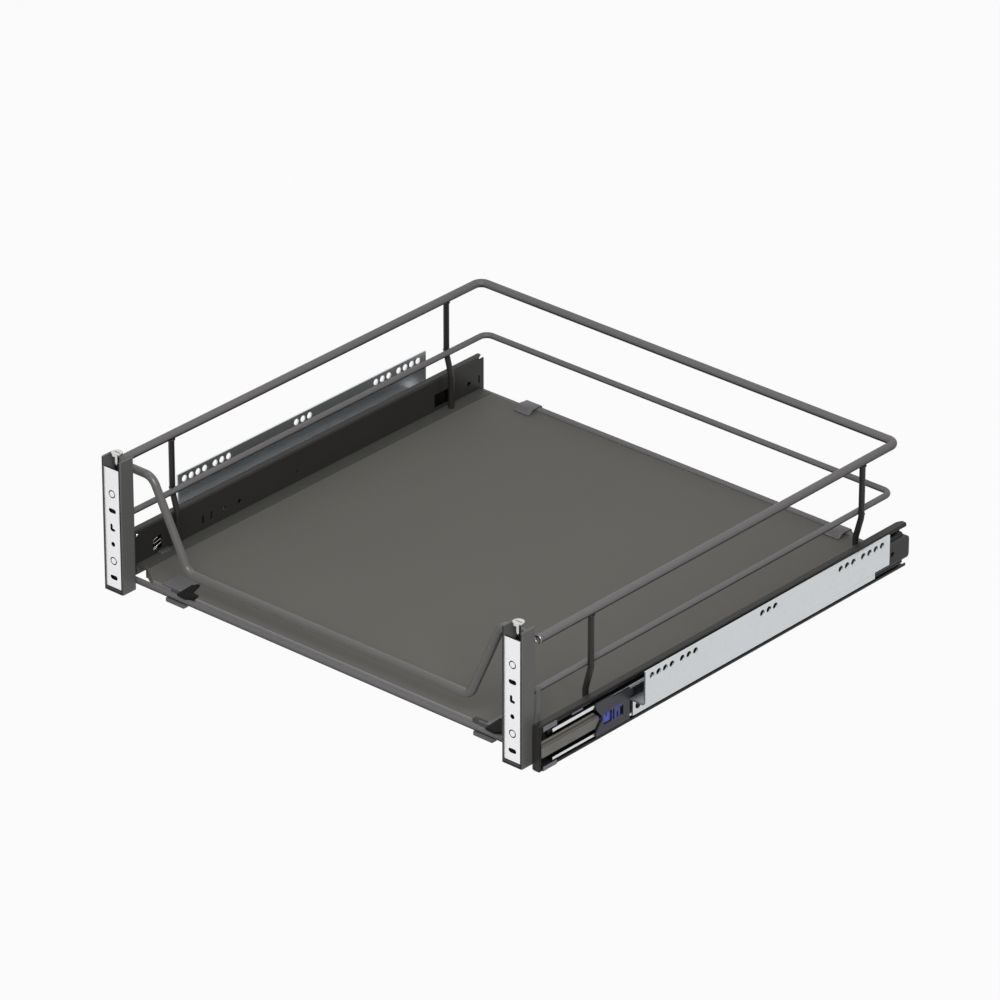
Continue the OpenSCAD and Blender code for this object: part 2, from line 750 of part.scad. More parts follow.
// A stop in each ball track, hooked round the profile's lip, and a small clip on the upper lip
module raceway_stops(left) {
    x0 = web_x + profile_t + stop_inset;
    lip_face = web_x + profile_d;
    lip_edge = profile_lip + stop_gap;
    color(chrome) side(left) placed() {
        for (top = [0, 1]) translate([0, profile_y + stop_set_back, top * profile_h])
            mirror([0, 0, top]) {
                translate([x0, 0, profile_t]) cube([stop_w, stop_l, lip_edge - profile_t + e]);
                translate([x0, 0, lip_edge])
                    cube([lip_face + stop_tab_t - x0, stop_l, stop_bridge]);
                translate([lip_face, 0, lip_edge + stop_bridge - stop_tab_h])
                    cube([stop_tab_t, stop_l, stop_tab_h]);
            }
        translate([0, profile_y + lip_clip[0], profile_h]) mirror([0, 0, 1]) {
            x1 = lip_face - profile_t - stop_gap - lip_clip_t;
            translate([x1, 0, lip_edge])
                cube([lip_face + lip_clip_t - x1, lip_clip[1], lip_clip_t]);
            for (x = [x1, lip_face]) translate([x, 0, lip_edge + lip_clip_t - lip_clip_h])
                cube([lip_clip_t, lip_clip[1], lip_clip_h]);
        }
    }
}

// A folded plate with a blunt point, on a foot behind the profile's front end
module striker_plate(left) {
    x1 = middle_x + middle_d;
    x0 = x1 - striker_t;
    y0 = profile_y + profile_t;
    low = slide_z - striker_low;
    fold_z = slide_z + striker_fold_z;
    top = fold_z + striker_fold;
    color("#8f8f8c") side(left) placed() {
        intersection() {
            along_y(y0, striker_end) polygon([[x0, low], [x1, low], [x1, fold_z],
                [x1 - striker_fold, top], [x0 - striker_fold, top], [x0, fold_z]]);
            along_x(x0 - striker_fold - 1, x1 + 1) polygon([[y0, low],
                [striker_end - striker_point, low], [striker_end, slide_z - striker_tip_h / 2],
                [striker_end, slide_z + striker_tip_h / 2],
                [striker_end - striker_point, slide_z + striker_low], [y0, slide_z + striker_low]]);
        }
        translate([x0 - striker_foot, y0, low]) cube([striker_foot + striker_t, striker_t,
            fold_z - low]);
    }
}

module floor_ledge(left) {
    color(coat) side(left) placed() along_y(ledge_y, board_rear) {
        translate([ledge_x, ledge_top - ledge_t]) square([ledge_w, ledge_t]);
        translate([web_x - ledge_t, ledge_low]) square([ledge_t, ledge_top - ledge_low]);
        translate([ledge_x, ledge_low]) square([ledge_t, ledge_top - ledge_low]);
        translate([ledge_x - ledge_foot, ledge_low]) square([ledge_foot + ledge_t, ledge_t]);
    }
}

module post_outline() {
    r = post_front_corner;
    translate([r, 0]) square([post_w - 2 * r, post_d - post_corner]);
    translate([0, r]) square([post_w, post_d - r - post_corner]);
    translate([post_corner, r]) square([post_w - 2 * post_corner, post_d - r]);
    for (x = [r, post_w - r]) translate([x, r]) circle(r);
    for (x = [post_corner, post_w - post_corner])
        translate([x, post_d - post_corner]) circle(post_corner);
}

module post(left) {
    color("#4c4c4c") side(left) placed() {
        translate([post_inner, 0, post_z]) linear_extrude(post_t) post_outline();
        difference() {
            translate([post_inner, 0, post_z]) linear_extrude(post_top - post_z) difference() {
                post_outline();
                translate([post_t, -1]) square([post_w - 2 * post_t, post_d - post_t + 1]);
            }
            translate([post_inner + post_t, post_d - post_t - 1, post_notch_z])
                cube([post_w - 2 * post_t, post_t + 2, post_top]);
        }
    }
}

module gusset(left) {
    low = ledge_top + gusset_lift;
    color("#4c4c4c") side(left) placed() along_x(web_x - gusset_t, web_x) polygon([
        [post_d, low], [post_d + gusset_d, low], [post_d + gusset_d, gusset_top],
        [post_d, gusset_top - gusset_rise]]);
}

module screw_block(left) {
    y0 = carrier_y + carrier_t + block_gap;
    color(zinc) side(left) placed() difference() {
        translate([post_inner + post_t, y0, screw_block_z - block_h])
            cube([post_w - 2 * post_t, post_d - post_t - y0, block_h]);
        translate([post_mid, screw_y, screw_block_z - block_h - 1])
            cylinder(d = screw_d + 2 * screw_play, h = block_h + 2);
    }
}

module panel_carrier(left) {
    x0 = post_mid - carrier_w / 2;
    color("#e6e6e8") side(left) placed() difference() {
        union() {
            translate([x0, carrier_y, carrier_z])
                cube([carrier_w, carrier_t, carrier_top - carrier_z]);
            translate([x0 + lug_inset, carrier_y + carrier_t - e, carrier_lug_z])
                cube([carrier_w - 2 * lug_inset, screw_offset + collar_d / 2 + e, lug_t]);
        }
        for (i = [0, 4]) along_y(carrier_y - 1, carrier_y + carrier_t + 1)
            translate([post_mid, carrier_hole_z + i * carrier_pitch])
                slot(carrier_slot_w, carrier_slot_h);
        for (i = [1, 5]) along_y(carrier_y - 1, carrier_y + ring_depth)
            translate([post_mid, carrier_hole_z + i * carrier_pitch]) difference() {
                circle(d = carrier_ring_d);
                circle(d = carrier_ring_d - 2 * ring_w);
            }
        translate([post_mid, carrier_y - 1, carrier_hole_z + 2 * carrier_pitch])
            rotate([-90, 0, 0]) cylinder(d = carrier_hole_d, h = carrier_t + 2);
        along_y(carrier_y - 1, carrier_y + carrier_t + 1)
            translate([post_mid, carrier_hole_z + 3 * carrier_pitch]) mirror([left ? 1 : 0, 0]) {
                translate([(l_slot_t - l_slot_w) / 2, 0]) rotate(90) slot(l_slot_h, l_slot_t);
                translate([0, (l_slot_t - l_slot_h) / 2]) slot(l_slot_w, l_slot_t);
            }
        translate([post_mid, screw_y, carrier_lug_z - 1])
            cylinder(d = screw_d + 2 * screw_play, h = lug_t + 2);
    }
}

// A slot with round ends, drawn about its centre
module slot(w, h) {
    square([w - h, h], center = true);
    for (s = [-1, 1]) translate([s * (w - h) / 2, 0]) circle(d = h);
}

module adjusting_screw(left) {
    low = screw_block_z - block_h - screw_tip;
    color(chrome) side(left) placed() translate([post_mid, screw_y, 0]) difference() {
        union() {
            translate([0, 0, low]) cylinder(d = screw_d, h = screw_top - low - screw_head_t);
            translate([0, 0, screw_top - screw_head_t]) cylinder(d = screw_head_d, h = screw_head_t);
            for (z = [carrier_lug_z - lug_gap - collar_t, carrier_lug_z + lug_t + lug_gap])
                translate([0, 0, z]) cylinder(d = collar_d, h = collar_t);
        }
        translate([-drive_slot_l / 2, -drive_slot_w / 2, screw_top - drive_slot_depth])
            cube([drive_slot_l, drive_slot_w, drive_slot_depth + 1]);
    }
}

module top_rail() {
    y0 = post_d + top_rail_gap;
    path = [[-rail_x, y0], [-rail_x, rail_rear], [rail_x, rail_rear], [rail_x, y0]];
    bore = [[-rail_x, y0 - 1], [-rail_x, rail_rear], [rail_x, rail_rear], [rail_x, y0 - 1]];
    color(coat) placed() translate([0, 0, top_rail_z]) difference() {
        bent_wire(path, rail_bend, top_rail_d);
        bent_wire(bore, rail_bend, top_rail_d - 2 * top_rail_wall);
    }
}

module lower_rail() {
    rear = rail_rear + lower_rail_set;
    path = [[-lower_rail_x, post_d], [-lower_rail_x, rear], [lower_rail_x, rear],
        [lower_rail_x, post_d]];
    color(coat) placed() translate([0, 0, lower_rail_z]) bent_wire(path, rail_bend, lower_rail_d);
}

module front_rail() {
    drop = front_rail_top - front_rail_low;
    path = [[-stub_x, 0], [-front_rail_upper_x, 0], [-front_rail_lower_x, -drop],
        [front_rail_lower_x, -drop], [front_rail_upper_x, 0], [stub_x, 0]];
    color(coat) placed() translate([0, stub_y, front_rail_top])
        rotate([90 + atan(front_rail_lean / drop), 0, 0])
            bent_wire(path, front_rail_bend, front_rail_d);
}

module upright(left, y) {
    path = [[rail_x, top_rail_z], [rail_x, upright_bend_z], [foot_x, upright_step_z],
        [foot_x, ledge_top]];
    color(coat) side(left) placed() difference() {
        translate([0, y, 0]) rotate([90, 0, 0]) bent_wire(path, upright_bend, upright_d);
        translate([rail_x, y - upright_d, top_rail_z]) rotate([-90, 0, 0])
            cylinder(d = top_rail_d, h = 2 * upright_d);
    }
}

module floor_board() {
    cx = board_x - board_chamfer_x;
    notch_x0 = front_clip_x + front_clip_w / 2 + notch_margin;
    color("#646460") placed() translate([0, 0, board_top - board_t]) linear_extrude(board_t)
        difference() {
            polygon([[-cx, board_y], [cx, board_y], [board_x, board_y + board_chamfer_y],
                [board_x, board_rear], [-board_x, board_rear],
                [-board_x, board_y + board_chamfer_y]]);
            for (s = [0, 1]) mirror([s, 0]) translate([notch_x0 - board_notch_w, board_y - 1])
                square([board_notch_w, board_notch_d + 1]);
        }
}

module front_crossbar() {
    color(coat) placed() round_x(-web_x, web_x, front_bar_y, front_bar_z, crossbar_d);
}

module rear_crossbar() {
    low_x = rear_bar_x + rear_bar_slope;
    path = [[-web_x, -rear_bar_step], [-low_x, -rear_bar_step], [-rear_bar_x, 0], [rear_bar_x, 0],
        [low_x, -rear_bar_step], [web_x, -rear_bar_step]];
    color(coat) placed() translate([0, rear_bar_y, rear_bar_z]) rotate([90, 0, 0])
        bent_wire(path, bar_bend, crossbar_d);
}

// A front clip: a leaf on the board, a stem down through the notch, and a saddle under the bar
module front_clip(left) {
    y0 = front_bar_y - clip_front_l;
    y1 = front_bar_y + crossbar_d / 2 + clip_gap;
    z0 = front_bar_z - crossbar_d / 2 - clip_gap - clip_drop;
    z1 = front_bar_z - crossbar_d / 2 + saddle_rise;
    leaf_x = front_clip_x + front_clip_w / 2 - leaf_overlap;
    color("#6c6c6a") side(left) placed() {
        along_x(front_clip_x - front_clip_w / 2, front_clip_x + front_clip_w / 2) difference() {
            union() {
                translate([y1, z0 + clip_r]) square([clip_t, board_top + leaf_t - z0 - clip_r]);
                translate([y0, z0 + clip_r]) square([y1 + clip_t - y0, z1 - z0 - clip_r]);
                translate([y0 + clip_r, z0]) square([y1 + clip_t - y0 - 2 * clip_r, clip_r]);
                for (y = [y0 + clip_r, y1 + clip_t - clip_r]) translate([y, z0 + clip_r])
                    circle(clip_r);
            }
            translate([front_bar_y, front_bar_z]) circle(d = crossbar_d + 2 * clip_gap);
        }
        along_x(leaf_x, leaf_x + leaf_w) translate([y1, board_top])
            square([board_y + leaf_reach - y1, leaf_t]);
    }
}

// A rear clip bridges the crossbar: a foot on the board, a plate, and a hook behind the bar
module rear_clip(left) {
    y0 = rear_bar_y - crossbar_d / 2 - clip_reach;
    top = rear_bar_z + crossbar_d / 2 + clip_gap;
    low = rear_bar_z - crossbar_d / 2 - clip_gap - clip_t;
    color("#6c6c6a") side(left) placed()
        along_x(rear_clip_x - rear_clip_w / 2, rear_clip_x + rear_clip_w / 2) {
            translate([y0, board_top]) square([clip_t, top - board_top + e]);
            translate([y0, top]) square([clip_rear - y0, clip_t]);
            translate([clip_rear - clip_t, low]) square([clip_t, top - low + e]);
            translate([rear_bar_y - hook_reach, low])
                square([clip_rear + clip_lip - rear_bar_y + hook_reach, clip_t]);
        }
}

wall_bracket(true);  // wall_bracket_left
wall_bracket(false);  // wall_bracket_right
cabinet_member(true);  // cabinet_member_left
cabinet_member(false);  // cabinet_member_right
bracket_rivets(true);  // bracket_rivets_left
bracket_rivets(false);  // bracket_rivets_right
damper_housing(true);  // damper_housing_left
damper_housing(false);  // damper_housing_right
damper_cylinder(true);  // damper_cylinder_left
damper_cylinder(false);  // damper_cylinder_right
damper_rod(true);  // damper_rod_left
damper_rod(false);  // damper_rod_right
damper_catch(true);  // damper_catch_left
damper_catch(false);  // damper_catch_right
middle_member(true);  // middle_member_left
middle_member(false);  // middle_member_right
inner_cage(true);  // inner_cage_left
inner_cage(false);  // inner_cage_right
inner_balls(true);  // inner_balls_left
inner_balls(false);  // inner_balls_right
outer_cage(true);  // outer_cage_left
outer_cage(false);  // outer_cage_right
outer_balls(true);  // outer_balls_left
outer_balls(false);  // outer_balls_right
side_profile(true);  // side_profile_left
side_profile(false);  // side_profile_right
raceway_stops(true);  // raceway_stops_left
raceway_stops(false);  // raceway_stops_right
striker_plate(true);  // striker_plate_left
striker_plate(false);  // striker_plate_right
floor_ledge(true);  // floor_ledge_left
floor_ledge(false);  // floor_ledge_right
post(true);  // post_left
post(false);  // post_right
gusset(true);  // gusset_left
gusset(false);  // gusset_right
screw_block(true);  // screw_block_left
screw_block(false);  // screw_block_right
panel_carrier(true);  // panel_carrier_left
panel_carrier(false);  // panel_carrier_right
adjusting_screw(true);  // adjusting_screw_left
adjusting_screw(false);  // adjusting_screw_right
top_rail();
lower_rail();
front_rail();
upright(true, upright_front_y);  // upright_front_left
upright(false, upright_front_y);  // upright_front_right
upright(true, upright_rear_y);  // upright_rear_left
upright(false, upright_rear_y);  // upright_rear_right
floor_board();
front_crossbar();
rear_crossbar();
front_clip(true);  // floor_clip_front_left
front_clip(false);  // floor_clip_front_right
rear_clip(true);  // floor_clip_rear_left
rear_clip(false);  // floor_clip_rear_right
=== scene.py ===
# %% [markdown]
# # A telescopic pull-out drawer for a kitchen cabinet
# The drawer is a board in a frame of bent, powder-coated rails. It hangs between two ball-bearing
# slides, and each slide is riveted to a galvanised bracket that is screwed to the cabinet's wall.
# The CAD model already has every piece at its real size, so this notebook gives the pieces their
# finishes, models what a saw, a press or a mould leaves on them, and lights the whole.

# %% Load the CAD model as a fixed frame
import bpy
import bmesh
import math
from mathutils import Matrix, Vector


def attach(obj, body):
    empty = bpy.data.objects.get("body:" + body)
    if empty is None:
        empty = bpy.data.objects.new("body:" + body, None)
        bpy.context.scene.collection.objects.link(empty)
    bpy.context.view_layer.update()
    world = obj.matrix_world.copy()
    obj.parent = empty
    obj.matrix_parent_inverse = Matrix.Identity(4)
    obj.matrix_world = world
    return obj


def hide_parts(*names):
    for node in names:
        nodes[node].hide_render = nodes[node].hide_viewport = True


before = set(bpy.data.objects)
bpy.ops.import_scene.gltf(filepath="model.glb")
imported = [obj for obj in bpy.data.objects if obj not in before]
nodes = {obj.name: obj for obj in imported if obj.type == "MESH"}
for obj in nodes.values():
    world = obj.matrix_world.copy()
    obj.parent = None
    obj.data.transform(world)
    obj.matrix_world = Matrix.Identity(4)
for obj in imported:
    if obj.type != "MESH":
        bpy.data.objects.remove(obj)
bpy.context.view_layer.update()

# %% [markdown]
# ## Camera
# A product picture of a flat, wide thing is taken with a long lens from well away, so that its
# edges stay almost parallel. The camera's place was found by fitting the drawer's corners to the
# photograph, and it is written here as a point in metres and a viewing direction.

# %% The camera
CAMERA_AT = Vector((3.9545, -4.49105, 3.2178))
TURN_FROM_FRONT = math.radians(41.40)
ABOVE_HORIZON = math.radians(27.68)
LENS_MM = 269.06

camera_data = bpy.data.cameras.new("camera")
camera_data.lens = LENS_MM
camera_data.sensor_width = 36
camera_data.clip_end = 50
camera = bpy.data.objects.new("camera", camera_data)
bpy.context.collection.objects.link(camera)
camera.location = CAMERA_AT
camera.rotation_euler = (math.pi / 2 - ABOVE_HORIZON, 0, TURN_FROM_FRONT)
bpy.context.scene.camera = camera
print("camera", [round(v, 3) for v in camera.location], "lens", LENS_MM, "mm")

# %% [markdown]
# ## Helpers for the finishes
# Paint makers and screens give colours as hex codes in sRGB, and a renderer computes with linear
# light, so one function turns the one into the other. Another adds one shader node with its
# settings and links, which keeps a material's recipe readable. The rest are the few steps that
# every finish here is made of: two tones of one colour, a value that wanders round its middle, a
# line where one skin ends, and a blend of two colours. Each hands back the output that it ends in.

# %% Colour and node helpers
def linear(code):
    """The linear colour, with full cover, of a hex code in sRGB."""
    channels = [int(code[i:i + 2], 16) / 255 for i in (1, 3, 5)]
    light = [c / 12.92 if c <= 0.04045 else ((c + 0.055) / 1.055) ** 2.4 for c in channels]
    return light + [1.0]


def add(tree, kind, settings=None, **sockets):
    """Adds a node. A socket is given a value, or a (node, output name) pair that feeds it.

    A keyword is the socket's name with _ for each space, or _ and the socket's number.
    """
    shader = tree.nodes.new(kind)
    for name, value in (settings or {}).items():
        setattr(shader, name, value)
    for name, value in sockets.items():
        socket = shader.inputs[int(name[1:]) if name[0] == "_" else name.replace("_", " ")]
        if isinstance(value, tuple) and isinstance(value[0], bpy.types.Node):
            tree.links.new(value[0].outputs[value[1]], socket)
        else:
            socket.default_value = value
    return shader


def new_material(name):
    material = bpy.data.materials.new(name)
    material.use_nodes = True
    material.node_tree.nodes.clear()
    return material, material.node_tree


def finish_material(tree, shader):
    add(tree, "ShaderNodeOutputMaterial", Surface=(shader, "BSDF"))


def two_tones(tree, source, shade, gains, stops):
    """Darkens and lightens a colour by two gains, at two stops of a texture's range."""
    tone = add(tree, "ShaderNodeValToRGB", Fac=source)
    for stop, gain, where in zip(tone.color_ramp.elements, gains, stops):
        stop.position = where
        stop.color = [min(1, c * gain) for c in linear(shade)[:3]] + [1]
    return (tone, "Color")


def around(tree, source, middle, spread, **limits):
    """Turns a texture's range into values from middle - spread to middle + spread."""
    wander = add(tree, "ShaderNodeMapRange", Value=source, To_Min=middle - spread,
                 To_Max=middle + spread, **limits)
    return (wander, "Result")


def beyond(tree, place, axis, edge_m, soft_m=0.0001):
    """1 where the object's coordinate is past an edge, 0 before it.

    X counts from the drawer's middle outward, so that both sides are parted alike.
    """
    source = (add(tree, "ShaderNodeSeparateXYZ", Vector=(place, "Object")), axis)
    if axis == "X":
        source = (add(tree, "ShaderNodeMath", {"operation": "ABSOLUTE"}, _0=source), "Value")
    past = add(tree, "ShaderNodeMapRange", Value=source, From_Min=edge_m - soft_m,
               From_Max=edge_m + soft_m)
    return (past, "Result")


def blend(tree, share, low, high, how="MIX"):
    """Mixes two colours; each is a hex code or a (node, output name) pair."""
    low, high = (linear(c) if isinstance(c, str) else c for c in (low, high))
    mix = add(tree, "ShaderNodeMix", {"data_type": "RGBA", "blend_type": how}, _0=share, _6=low,
              _7=high)
    return (mix, "Result")


print("colour check: mid grey #808080 is", round(linear("#808080")[0], 3), "in linear light")

# %% [markdown]
# ## Powder coat
# The rails, posts and clips are steel with a baked powder coat in anthracite. The powder flows out
# in the oven but never quite flat: its skin has an orange peel of about a millimetre and a half,
# and under it a fine grit of pigment. The eye sees a satin grey with a soft highlight that is a
# little restless. Noise at those two sizes gives both, one as bump and one as a shift in colour.
# Handling polishes the coat along edges, so a third, broad noise varies the gloss. The underside
# of a thin rail is painted near black: painted shade, standing in for the shade under it. The
# posts' front edges and the profile's outer lips are painted near black too, as painted shade,
# and a mask on one coordinate parts the coat from that painted shade.

# %% The powder coats
FRONT_MM = -262.05
POST_EDGE_MM = 0.3
PROFILE_LIP_X = 0.2602
# Painted shade: the near black that stands in for shade on the posts' front edges and on two slide
# rails.
SHADE_BLACK = "#0a0a0a"


def front_mm(distance):
    """The Y coordinate, in metres, of a point so many millimetres behind the posts' front."""
    return (FRONT_MM + distance) / 1000


def powder_coat(name, shade, roughness=0.4, peel_mm=1.6, grit_mm=0.35, gloss=0.5, painted_shade_zone=None,
                painted_under_shade=None):
    material, tree = new_material(name)
    place = add(tree, "ShaderNodeTexCoord")
    grit = add(tree, "ShaderNodeTexNoise", Vector=(place, "Object"), Scale=1000 / grit_mm,
               Detail=2.0)
    peel = add(tree, "ShaderNodeTexNoise", Vector=(place, "Object"), Scale=1000 / peel_mm,
               Detail=1.0)
    cloud = add(tree, "ShaderNodeTexNoise", Vector=(place, "Object"), Scale=18.0, Detail=2.0)
    colour = two_tones(tree, (grit, "Fac"), shade, (0.9, 1.1), (0.3, 0.7))
    colour = blend(tree, 1.0, colour, around(tree, (cloud, "Fac"), 1, 0.04), "MULTIPLY")
    # Painted shade: on one side of an edge the coat is painted near black, standing in for shade.
    if painted_shade_zone:
        axis, edge, shade_colour, shade_first = painted_shade_zone
        pair = (shade_colour, colour) if shade_first else (colour, shade_colour)
        colour = blend(tree, beyond(tree, place, axis, edge), *pair)
    # Painted shade: faces that turn downward are painted darker, standing in for the shade under a
    # rail.
    if painted_under_shade:
        facing = add(tree, "ShaderNodeNewGeometry")
        upward = add(tree, "ShaderNodeSeparateXYZ", Vector=(facing, "Normal"))
        shaded_below = add(tree, "ShaderNodeMapRange", Value=(upward, "Z"), From_Min=-0.3,
                      From_Max=-0.02)
        colour = blend(tree, (shaded_below, "Result"), painted_under_shade, colour)
    relief = add(tree, "ShaderNodeBump", Height=(peel, "Fac"), Strength=0.25, Distance=0.00008)
    surface = add(tree, "ShaderNodeBsdfPrincipled", Base_Color=colour,
                  Roughness=around(tree, (cloud, "Fac"), roughness, 0.05),
                  Normal=(relief, "Normal"), Specular_IOR_Level=gloss)
    finish_material(tree, surface)
    return material


rail_coat = powder_coat("powder-coated steel, anthracite", "#696767", roughness=0.42, gloss=0.18,
                        painted_under_shade="#171717")
upright_coat = powder_coat("powder-coated thin steel wire", "#252423", roughness=0.36, gloss=0.3)
front_rail_coat = powder_coat("powder-coated bent front rail", "#5e5c5b", roughness=0.3, gloss=0.4)
# Painted shade: the posts' front edges are painted near black.
post_coat = powder_coat("powder-coated steel channel", "#5f5f5e", roughness=0.34, gloss=0.25,
                        painted_shade_zone=("Y", front_mm(POST_EDGE_MM), SHADE_BLACK, True))
clip_coat = powder_coat("powder-coated spring steel", "#605e60", roughness=0.36, gloss=0.3)
ledge_coat = powder_coat("powder-coated sheet steel", "#474744", roughness=0.5, gloss=0.3)
# Painted shade: the profile's outer lips are painted near black.
profile_coat = powder_coat("powder-coated slide profile", "#2d2c2a", roughness=0.42, gloss=0.2,
                           painted_shade_zone=("X", PROFILE_LIP_X, "#0c0c0c", False))
print("powder coats:", 7)

# %% [markdown]
# ## Melamine-faced board
# The floor is a chipboard panel faced with a melamine film in the same anthracite, pressed against
# a steel sheet that leaves a fine leather-like matt skin, so that goods don't slide. The eye sees
# an even warm grey with almost no highlight. A fine cell pattern of a millimetre gives the skin,
# and a broad cloud keeps so large a face from looking printed. A lighter band is painted along the
# front and rear edges as a painted highlight, the line of light that those edges catch.

# %% The floor board's finish
BOARD_FRONT_MM, BOARD_REAR_MM = 30.0, 513.3


def melamine(name, shade, edge_highlight, cell_mm=1.1, roughness=0.62, edge_highlight_mm=0.6):
    material, tree = new_material(name)
    place = add(tree, "ShaderNodeTexCoord")
    cells = add(tree, "ShaderNodeTexVoronoi", {"feature": "SMOOTH_F1"}, Vector=(place, "Object"),
                Scale=1000 / cell_mm)
    cloud = add(tree, "ShaderNodeTexNoise", Vector=(place, "Object"), Scale=7.0, Detail=3.0)
    grit = add(tree, "ShaderNodeTexNoise", Vector=(place, "Object"), Scale=2500.0, Detail=1.0)
    colour = two_tones(tree, (grit, "Fac"), shade, (0.92, 1.08), (0.35, 0.65))
    colour = blend(tree, 1.0, colour, around(tree, (cloud, "Fac"), 1, 0.05), "MULTIPLY")
    # Painted highlight: a lighter band along the front and rear edges.
    front = beyond(tree, place, "Y", front_mm(BOARD_FRONT_MM + edge_highlight_mm))
    rear = beyond(tree, place, "Y", front_mm(BOARD_REAR_MM - edge_highlight_mm))
    colour = blend(tree, rear, blend(tree, front, edge_highlight, colour), edge_highlight)
    relief = add(tree, "ShaderNodeBump", Height=(cells, "Distance"), Strength=0.2,
                 Distance=0.00005)
    surface = add(tree, "ShaderNodeBsdfPrincipled", Base_Color=colour,
                  Roughness=around(tree, (cells, "Distance"), roughness, 0.06),
                  Normal=(relief, "Normal"), Specular_IOR_Level=0.2)
    finish_material(tree, surface)
    return material


board_face = melamine("melamine-faced board, anthracite", "#605f5a", edge_highlight="#8c8c90")
print("board finish:", board_face.name)

# %% [markdown]
# ## Galvanised sheet
# The wall brackets and the bright slide members are rolled steel with a hot-dip zinc skin. Zinc
# freezes in flat crystals, the spangle, each a few millimetres wide and tilted its own way, and
# the rollers draw faint lines along the sheet. The eye sees a pale blue-grey metal that changes
# tone from crystal to crystal. Voronoi cells give the crystals, and noise stretched along the
# length of the sheet gives the lines. Two pieces carry painted shade on one side: the slide's
# middle rail is painted near black as the shade behind the bracket and under the profile's lip,
# but for its outer lips in front of 160 mm, and the carrier's holes and pressed rings are painted
# near black as the shade inside them. The rail in the cabinet isn't bright at all: it has a grey
# coat, painted near black in front of its rear end as the shade seen through the bracket's holes.

# %% The slides' and brackets' metals
MIDDLE_LIP_X = 0.26185
UNSHADED_LIPS_MM = 160
CABINET_REAR_MM = 468.5
CARRIER_FACE_MM = 1.3


def metal(name, shade, roughness, spangle_mm=0.0, lines_mm=0.0, spread=0.12, drawn=0.06,
          shaded_part=None, shade_behind=None, specular_level=0.5):
    material, tree = new_material(name)
    place = add(tree, "ShaderNodeTexCoord")
    stretched = add(tree, "ShaderNodeMapping", Vector=(place, "Object"), Scale=(1, 0.02, 1))
    lines = add(tree, "ShaderNodeTexNoise", Vector=(stretched, "Vector"),
                Scale=1000 / max(lines_mm, 0.4), Detail=2.0)
    if spangle_mm:
        crystals = add(tree, "ShaderNodeTexVoronoi", Vector=(place, "Object"),
                       Scale=1000 / spangle_mm)
        source = (add(tree, "ShaderNodeSeparateColor", Color=(crystals, "Color")), "Red")
    else:
        source = (add(tree, "ShaderNodeTexNoise", Vector=(place, "Object"), Scale=120.0,
                      Detail=3.0), "Fac")
    colour = two_tones(tree, source, shade, (1 - spread, 1 + spread * 0.4), (0, 1))
    bright = 1.0
    # Painted shade: on one side of an edge, and behind a second edge along Y, the metal is painted
    # near black and made non-metallic, standing in for shade.
    if shaded_part:
        axis, edge, dark_shade, dark_first = shaded_part
        ends = ("#000000", "#ffffff") if dark_first else ("#ffffff", "#000000")
        bright = blend(tree, beyond(tree, place, axis, edge), *ends)
        if shade_behind:
            bright = blend(tree, beyond(tree, place, "Y", shade_behind), bright, "#000000")
        colour = blend(tree, bright, dark_shade, colour)
    gloss = around(tree, (lines, "Fac"), roughness, drawn, From_Min=0.3, From_Max=0.7)
    relief = add(tree, "ShaderNodeBump", Height=(lines, "Fac"), Strength=drawn, Distance=0.00003)
    surface = add(tree, "ShaderNodeBsdfPrincipled", Base_Color=colour, Metallic=bright,
                  Roughness=gloss, Normal=(relief, "Normal"), Specular_IOR_Level=specular_level)
    finish_material(tree, surface)
    return material


galvanised = metal("hot-dip galvanised steel sheet", "#cdd1d3", 0.36, spangle_mm=3.0, lines_mm=0.6,
                   spread=0.025, drawn=0.004)
bright_steel = metal("polished hardened steel", "#d2d2d0", 0.2, lines_mm=0.5, spread=0.05)
stop_steel = metal("dull zinc-plated spring steel", "#727276", 0.42, lines_mm=0.5, spread=0.2)
# Painted shade: the middle rail is painted near black, as the shade behind the bracket and under
# the profile's lip, except for its outer lips in front.
slide_zinc = metal("black slide rail with polished ball tracks", "#d8dadc", 0.3, lines_mm=0.5,
                   spread=0.05, shaded_part=("X", MIDDLE_LIP_X, SHADE_BLACK, True),
                   shade_behind=front_mm(UNSHADED_LIPS_MM), specular_level=0.12)
# Painted shade: behind the front face, in the holes and pressed rings, the zinc is painted near
# black.
carrier_zinc = metal("white zinc-plated steel with dark cut edges", "#f0f0f2", 0.42,
                     spangle_mm=2.5, lines_mm=0.6, spread=0.02,
                     shaded_part=("Y", front_mm(CARRIER_FACE_MM), "#0c0c0c", False), specular_level=0.12)
# Painted shade: in front of its rear end the cabinet rail is painted near black, standing in for
# the shade seen through the bracket's holes.
cabinet_rail_coat = powder_coat("electrophoretic coat on steel", "#474749", roughness=0.36,
                          peel_mm=0.8, gloss=0.12,
                          painted_shade_zone=("Y", front_mm(CABINET_REAR_MM), SHADE_BLACK, True))
print("bright metals:", 5, "and one grey coat with painted shade")

# %% [markdown]
# ## Moulded acetal
# The soft-closing unit is moulded in acetal, a slippery, slightly waxy plastic: black for the
# housing, blue for the catch that slides in it, grey for the striker on the drawer. The mould was
# spark-eroded, which leaves a matt skin of tiny craters about a third of a millimetre wide. The
# housing is moulded in two shots, with a blue field round its slots, so it changes colour at a
# coordinate. The striker is painted in bands by height along its fold: painted shade in the crease
# and a painted highlight on its upper face. The buffers, slot fillers and shadow sheets are black
# rubber, which is rougher and hardly shines.

# %% The plastics
BLUE_FIELD = (("Y", front_mm(104.6), front_mm(118.5)), ("Z", 0.0142, 0.0272))
# Painted shade and highlight: bands by height on the striker, dark in the fold's crease and light
# on its upper face.
FOLD_LIGHT_AND_SHADE = ((0.0246, "#211f1d"), (0.0253, "#5c5850"), (0.0262, "#37342f"), (0.0278, "#736e65"))


